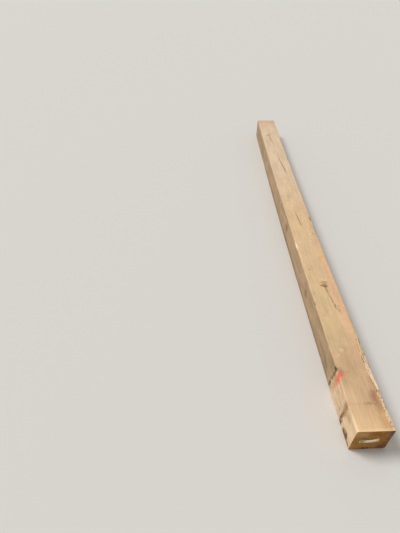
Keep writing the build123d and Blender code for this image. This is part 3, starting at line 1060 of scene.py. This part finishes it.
def buildTimber():
    points, faces, places, torn, checkShades, skinFaces = timberSkin()
    piece = makePiece("timber", points, faces, planedWoodMaterial())
    piece.data.materials.append(sawnEndMaterial())
    for polygon in piece.data.polygons[skinFaces:]:
        polygon.material_index = 1
    addAttribute(piece.data, "place", "FLOAT_VECTOR", places)
    addAttribute(piece.data, "torn", "FLOAT", torn)
    addAttribute(piece.data, "paintedCheckShade", "FLOAT", checkShades)
    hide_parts("post")
    print("timber:", len(points), "points,", len(faces), "faces")


buildTimber()

# Long splinters of wood that still hang on the torn corner
splinters = {
    "count": 26,
    "seed": 11,
    "between": (48, 420),       # mm along, where they are rooted
    "within": (22, 438),        # mm along, where their tips end
    "rooted": 0.9,              # mm that a root lies in the wood
    "blunt": 0.03,              # share of its breadth that the tip keeps
    "below": 0.15,              # mm that they keep under the top
    "sliver": 0.03,             # mm that keeps their faces apart where they are pressed flat
    "length": (22, 90),
    "breadth": (1.2, 3.4),
    "thickness": (0.5, 1.2),
    "lift": (0.6, 3.8),
    "stations": 10,
    "chips": 64,                # short broken ends near the sawn end
    "chipsBetween": (22, 178),
    "chipLength": (4, 12),
    "chipBreadth": (1.8, 4.6),
    "chipLift": (0.8, 2.8),
    "strandScale": (1.4, 0.03, 1.4),  # strands of about 0.7 by 30 mm
    "fresh": "#fbe5c4",
    "shade": "#deb684",
}
# Its section, as shares of breadth and thickness
splinterSection = [(-0.5, 0), (0.5, 0), (0.42, 0.7), (0.1, 1), (-0.3, 0.85), (-0.48, 0.4)]
# The ones that show most: root and tip along the timber, how far over the torn face they lie as a
# share of its breadth, then breadth, thickness and lift at the tip in mm
plainSplinters = [
    (162, 268, 0.72, 0.42, 11.0, 3.2, 1.0),
    (318, 246, 0.35, 0.45, 5.0, 1.5, 2.4),
    (396, 322, 0.40, 0.30, 4.5, 1.4, 2.2),
    (226, 190, 0.25, 0.05, 3.0, 1.0, 3.0),
    (154, 140, 0.45, 0.40, 8.0, 2.0, 1.6),
    (100, 89, 0.40, 0.36, 7.5, 1.9, 1.4),
    (79, 68, 0.34, 0.40, 7.5, 1.9, 1.5),
    (64, 55, 0.45, 0.40, 7.0, 1.8, 1.4),
    (50, 41, 0.40, 0.40, 6.5, 1.7, 1.3),
    (34, 26, 0.45, 0.50, 5.5, 1.5, 1.2),
]


def splinterMaterial():
    # Freshly torn pine: clean, pale and silky along the fibre, so it catches the light
    material = bpy.data.materials.new("freshly torn pine fibre")
    add = emptyNodes(material)
    place = add("Attribute", [], out=1, attribute_name="place")
    strandPlace = add("VectorMath", [place, splinters["strandScale"]], "MULTIPLY")
    strands = add("TexNoise", {"Vector": strandPlace, "Scale": 1.0, "Detail": 4.0})
    strands = add("MapRange", [strands, 0.35, 0.62])
    colour = add("Mix", {0: strands, 6: splinters["shade"], 7: splinters["fresh"]})
    bump = add("Bump", {"Strength": 0.5, "Distance": 0.0004, "Height": strands})
    shader = add("BsdfPrincipled", {"Base Color": colour, "Roughness": 0.6, "Normal": bump, "IOR": 1.45,
                                    "Specular IOR Level": 0.35})
    add("OutputMaterial", {"Surface": shader})
    return material


def buildSplinters():
    random.seed(splinters["seed"])
    rows = list(plainSplinters)
    for _ in range(splinters["count"]):
        root = random.uniform(*splinters["between"])
        heading = -1 if random.random() < 0.8 else 1
        slide = random.uniform(0.1, 0.9)
        rows.append((root, root + heading * random.uniform(*splinters["length"]), slide,
                     slide + random.uniform(-0.15, 0.2), random.uniform(*splinters["breadth"]),
                     random.uniform(*splinters["thickness"]), random.uniform(*splinters["lift"])))
    for _ in range(splinters["chips"]):
        root = random.uniform(*splinters["chipsBetween"])
        slide = random.uniform(-0.15, 0.8)
        rows.append((root, root + random.choice((-1, 1)) * random.uniform(*splinters["chipLength"]), slide,
                     slide + random.uniform(-0.1, 0.1), random.uniform(*splinters["chipBreadth"]),
                     random.uniform(*splinters["thickness"]), random.uniform(*splinters["chipLift"])))
    points, places, faces = [], [], []
    for root, tip, slideFrom, slideTo, breadth, thickness, lift in rows:
        tip = min(max(tip, splinters["within"][0]), splinters["within"][1])
        start = len(points)
        for station in range(splinters["stations"] + 1):
            share = station / splinters["stations"]
            along = root + (tip - root) * share
            reach, drop = readTable(tornCorner, along)
            size = max(math.hypot(reach, drop), 0.01)
            tangent, outward = (reach / size, -drop / size), (drop / size, reach / size)
            at = size * (slideFrom + (slideTo - slideFrom) * share)
            rise = lift * share ** 2 - splinters["rooted"]
            middle = (postWidth / 2 - reach + tangent[0] * at + outward[0] * rise,
                      postHeight + tangent[1] * at + outward[1] * rise)
            waver = 0.8 + 0.2 * math.sin(7 * share + root)
            taper = (1 - share) ** 0.6 * waver + splinters["blunt"]
            for side, top in splinterSection:
                aside, high = side * breadth * taper, top * thickness * (1 - 0.7 * share)
                sliver = splinters["sliver"] * (1 - top)
                across = min(middle[0] + tangent[0] * aside + outward[0] * high, postWidth / 2 - sliver)
                up = middle[1] + tangent[1] * aside + outward[1] * high
                up = min(up, postHeight - splinters["below"] - sliver)
                points.append(inFrame(across, along, up))
                places.append((across, along, up))
        rod = rodFaces(start, splinters["stations"] + 1, len(splinterSection))
        faces += [face[::-1] for face in rod] if tip > root else rod
    piece = makePiece("torn_splinters", points, faces, splinterMaterial())
    addAttribute(piece.data, "place", "FLOAT_VECTOR", places)
    print("splinters:", len(rows))


buildSplinters()

# The end tag: a strip of thin plastic with plain bands, stapled near its ends
tag = {
    "length": 72.0,
    "height": 20.0,
    "thickness": 0.5,
    "bow": 2.2,            # mm its middle stands off the timber
    "padEdge": 27.9,       # mm from its middle to where it lies flat
    "cornerCurl": 1.9,     # mm the lower corner by the left staple curls out
    "curlFrom": 8,         # mm outside the flat pad's edge, where it curls that far
    "bulgePower": 1.3,     # how flat its middle bulges
    "cornerRadius": 1.5,
    "tilt": 4.0,           # degrees
    "across": -8.0,
    "up": 69.0,
    "stepsAlong": 60,
    "stepsUp": 18,
    "white": "#fdefd4",
    # printed cream-orange end bands, made bright as a painted highlight on the right pad
    "band": "#ffd9a4",
    "dustyBand": "#c6a37c",
    "bandEdge": (27.2, 27.6),   # mm from its middle
    "stripe": "#a9a690",
    "stripeStep": 3.4,          # mm from the middle of a stripe to the middle of a gap
    "stripeEdge": (0.35, 0.5),  # mm from the middle of a stripe
    "stripesFade": (-14, 16),   # mm along, from strong to faint
    "shadeAndDust": "#978d68",        # painted shade, with dust, over its left part
    "cleanUnshadedTip": (-34, 1, -8),   # the curled lower left corner is left out of the painted shade and the dust
    "dust": "#b0946c",
}
staple = {
    "inset": 6.0,          # mm from the tag's end
    "crown": 11.0,
    "wireWidth": 1.2,
    "wireThickness": 0.6,
    "leg": 10.0,
    "bendRadius": 0.5,
    "zinc": "#a9abab",
    "rust": "#7c4a28",
}
# The wire's section with its corners off, as shares of width and thickness
wireSection = [(-0.5, -0.25), (-0.35, -0.5), (0.35, -0.5), (0.5, -0.25),
               (0.5, 0.25), (0.35, 0.5), (-0.35, 0.5), (-0.5, 0.25)]


# The tag's own axes: x along it, y out of the end face towards the viewer, z up its height
def onEnd(x, out, z):
    tilt = math.radians(tag["tilt"])
    across = tag["across"] + x * math.cos(tilt) - z * math.sin(tilt)
    up = tag["up"] + x * math.sin(tilt) + z * math.cos(tilt)
    return inFrame(across, -out, up)


def tagMaterial():
    # Polypropylene sheet: a satin, slightly waxy white with printed bands, dusty from the yard
    material = bpy.data.materials.new("printed polypropylene tag")
    add = emptyNodes(material)
    place = add("Attribute", [], out=1, attribute_name="place")
    x, _, z = add("SeparateXYZ", [place]).node.outputs
    fromMiddle = add("Math", [x], "ABSOLUTE")
    band = add("MapRange", [fromMiddle, *tag["bandEdge"]])
    left = add("Math", [x, 0.0], "LESS_THAN")
    ends = add("Mix", {0: left, 6: tag["band"], 7: tag["dustyBand"]})
    tip = add("VectorMath", [place, tag["cleanUnshadedTip"]], "DISTANCE", out=1)
    tip = add("MapRange", [tip, 4.0, 8.0, 1.0, 0.0])
    ends = add("Mix", {0: tip, 6: ends, 7: tag["band"]})
    colour = add("Mix", {0: band, 6: tag["white"], 7: ends})
    rows = add("Math", [z, tag["stripeStep"]], "PINGPONG")
    rows = add("MapRange", [rows, *tag["stripeEdge"], 1.0, 0.0])
    block = add("MapRange", [x, *tag["stripesFade"], 0.75, 0.1])
    stripes = add("Math", [rows, block], "MULTIPLY")
    colour = add("Mix", {0: stripes, 6: colour, 7: tag["stripe"]})
    dust = add("TexNoise", {"Vector": place, "Scale": 0.22, "Detail": 5.0})
    dust = add("MapRange", [dust, 0.5, 0.75, 0.0, 0.5])
    # the right part is clean, and kept free of dust as a painted highlight
    cleanAndLit = add("MapRange", [x, 8.0, 22.0, 1.0, 0.1])
    dust = add("Math", [dust, cleanAndLit], "MULTIPLY")
    colour = add("Mix", {0: dust, 6: colour, 7: tag["dust"]})
    # painted shade with dust over the tag's left part, edged on a slant, kept off the curled corner
    shadeAndDust = add("Math", [z, -0.5, x], "MULTIPLY_ADD")
    shadeAndDust = add("MapRange", [shadeAndDust, -19.0, -12.0, 0.85, 0.0])
    inside = add("Math", [tip, -1.0, 1.0], "MULTIPLY_ADD")
    shadeAndDust = add("Math", [shadeAndDust, inside], "MULTIPLY")
    colour = add("Mix", {0: shadeAndDust, 6: colour, 7: tag["shadeAndDust"]})
    rough = add("MapRange", [dust, 0.0, 0.5, 0.4, 0.75])
    shader = add("BsdfPrincipled", {"Base Color": colour, "Roughness": rough, "IOR": 1.49})
    add("OutputMaterial", {"Surface": shader})
    return material


def buildTag():
    across, high = tag["stepsAlong"], tag["stepsUp"]
    points, places, faces = [], [], []
    for layer in (0, 1):
        for j in range(high + 1):
            for i in range(across + 1):
                x = tag["length"] * (i / across - 0.5)
                z = tag["height"] * (j / high - 0.5)
                # round the four corners
                overX = abs(x) - (tag["length"] / 2 - tag["cornerRadius"])
                overZ = abs(z) - (tag["height"] / 2 - tag["cornerRadius"])
                if overX > 0 and overZ > 0:
                    pull = max(overX, overZ) / math.hypot(overX, overZ)
                    x = math.copysign(abs(x) - overX * (1 - pull), x)
                    z = math.copysign(abs(z) - overZ * (1 - pull), z)
                turn = math.pi / 2 * min(1.0, abs(x) / tag["padEdge"])
                bulge = max(0.0, math.cos(turn)) ** tag["bulgePower"]
                stand = tag["bow"] * bulge * (0.94 + 0.06 * math.sin(0.35 * z + 0.2 * x))
                loose = max(0.0, -x - tag["padEdge"]) / tag["curlFrom"] * max(0.0, -z) / (tag["height"] / 2)
                stand += tag["cornerCurl"] * loose ** 1.4
                out = min(stand, tag["bow"]) + layer * tag["thickness"]
                points.append(onEnd(x, out, z))
                places.append((x, out, z))
    row = across + 1
    layerSize = row * (high + 1)
    for j in range(high):
        for i in range(across):
            a = j * row + i
            faces.append((a, a + row, a + row + 1, a + 1))
            faces.append((a + layerSize, a + layerSize + 1, a + layerSize + row + 1, a + layerSize + row))
    rim = [i for i in range(row)] + [row * j + across for j in range(1, high + 1)]
    rim += [row * high + i for i in range(across - 1, -1, -1)] + [row * j for j in range(high - 1, 0, -1)]
    for a, b in zip(rim, rim[1:] + rim[:1]):
        faces.append((a, b, b + layerSize, a + layerSize))
    piece = makePiece("printed_tag", points, faces, tagMaterial())
    addAttribute(piece.data, "place", "FLOAT_VECTOR", places)
    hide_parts("end_tag")
    print("tag:", len(faces), "faces")


def stapleMaterial():
    # Galvanised wire: dull grey zinc with a little rust where the bend has cracked it
    material = bpy.data.materials.new("galvanised staple wire")
    add = emptyNodes(material)
    place = add("TexCoord", out=3)
    spots = add("TexNoise", {"Vector": place, "Scale": 700.0, "Detail": 4.0})
    spots = add("MapRange", [spots, 0.52, 0.68, 0.0, 0.8])
    colour = add("Mix", {0: spots, 6: staple["zinc"], 7: staple["rust"]})
    metal = add("MapRange", [spots, 0.0, 0.8, 1.0, 0.1])
    rough = add("MapRange", [spots, 0.0, 0.8, 0.42, 0.85])
    shader = add("BsdfPrincipled", {"Base Color": colour, "Metallic": metal, "Roughness": rough})
    add("OutputMaterial", {"Surface": shader})
    return material


def buildStaple(name, node, middle, material):
    thickness = staple["wireThickness"]
    half = staple["crown"] / 2 - thickness / 2
    bend = staple["bendRadius"]
    crownOut = tag["thickness"] + thickness / 2
    legEnd = crownOut + thickness / 2 - staple["leg"] - thickness
    route = [(legEnd, -half), (crownOut - bend - 3, -half)]
    for i in range(7):
        angle = math.radians(15 * i)
        route.append((crownOut - bend + bend * math.sin(angle), -half + bend - bend * math.cos(angle)))
    route += [(out, -z) for out, z in reversed(route)]
    points = []
    for i, (out, z) in enumerate(route):
        before, after = route[max(i - 1, 0)], route[min(i + 1, len(route) - 1)]
        direction = Vector((after[0] - before[0], after[1] - before[1])).normalized()
        sideOut, sideUp = -direction.y, direction.x
        for x, t in wireSection:
            off = t * thickness
            points.append(onEnd(middle + x * staple["wireWidth"], out + sideOut * off, z + sideUp * off))
    faces = rodFaces(0, len(route), len(wireSection))
    piece = makePiece(name, points, faces, material)
    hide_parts(node)


buildTag()
zincWire = stapleMaterial()
stapleMiddle = tag["length"] / 2 - staple["inset"]
buildStaple("staple_left", "tag_staple_left", -stapleMiddle, zincWire)
buildStaple("staple_right", "tag_staple_right", stapleMiddle, zincWire)
print("staples placed")

# A plain pale floor under soft, even light from the upper left, a little from behind
studio = {
    "floor": "#d6d3cd",
    "backdrop": "#e2e0db",
    "floorRadius": 40.0,   # metres
    "floorSides": 72,
    "floorRoughness": 0.9,
    "keyHeight": 57.0,     # degrees above the floor
    "keyTurn": 24.0,       # degrees from the -X side towards the plain end
    "keySpread": 22.0,     # degrees across, which makes the shadow's edge soft
    "keyStrength": 2.05,
    "fill": 0.45,
}


def addStudio():
    material = bpy.data.materials.new("matt studio floor")
    material.use_nodes = True
    shader = material.node_tree.nodes["Principled BSDF"]
    shader.inputs["Base Color"].default_value = hexColour(studio["floor"])
    shader.inputs["Roughness"].default_value = studio["floorRoughness"]
    radius, sides = studio["floorRadius"], studio["floorSides"]
    turns = [2 * math.pi * i / sides for i in range(sides)]
    rim = [(radius * math.cos(turn), radius * math.sin(turn), 0.0) for turn in turns]
    mesh = bpy.data.meshes.new("studio_floor")
    mesh.from_pydata(rim, [], [tuple(range(sides))])
    mesh.materials.append(material)
    floor = bpy.data.objects.new("studio_floor", mesh)
    bpy.context.scene.collection.objects.link(floor)

    key = bpy.data.objects.new("key_light", bpy.data.lights.new("key_light", "SUN"))
    key.data.energy = studio["keyStrength"]
    key.data.angle = math.radians(studio["keySpread"])
    height, turn = math.radians(studio["keyHeight"]), math.radians(studio["keyTurn"])
    level = math.cos(height)
    upLight = Vector((-level * math.cos(turn), level * math.sin(turn), math.sin(height)))
    key.location = 3 * upLight
    key.rotation_euler = upLight.to_track_quat("Z", "Y").to_euler()
    bpy.context.scene.collection.objects.link(key)

    world = bpy.data.worlds.new("studio_world")
    bpy.context.scene.world = world
    add = emptyNodes(world)
    seen = add("LightPath").node
    direct = add("Math", [seen.outputs["Is Camera Ray"], seen.outputs["Is Glossy Ray"]], "MAXIMUM")
    direct = add("Math", [direct, seen.outputs["Is Transmission Ray"]], "MAXIMUM")
    light = add("Background", [(1, 1, 1, 1), studio["fill"]])
    shown = add("Background", [studio["backdrop"], 1.0])
    mixed = add("MixShader", [direct, light, shown])
    add("OutputWorld", {"Surface": mixed})


addStudio()
bpy.context.scene.view_settings.view_transform = "Standard"
print("studio lit")
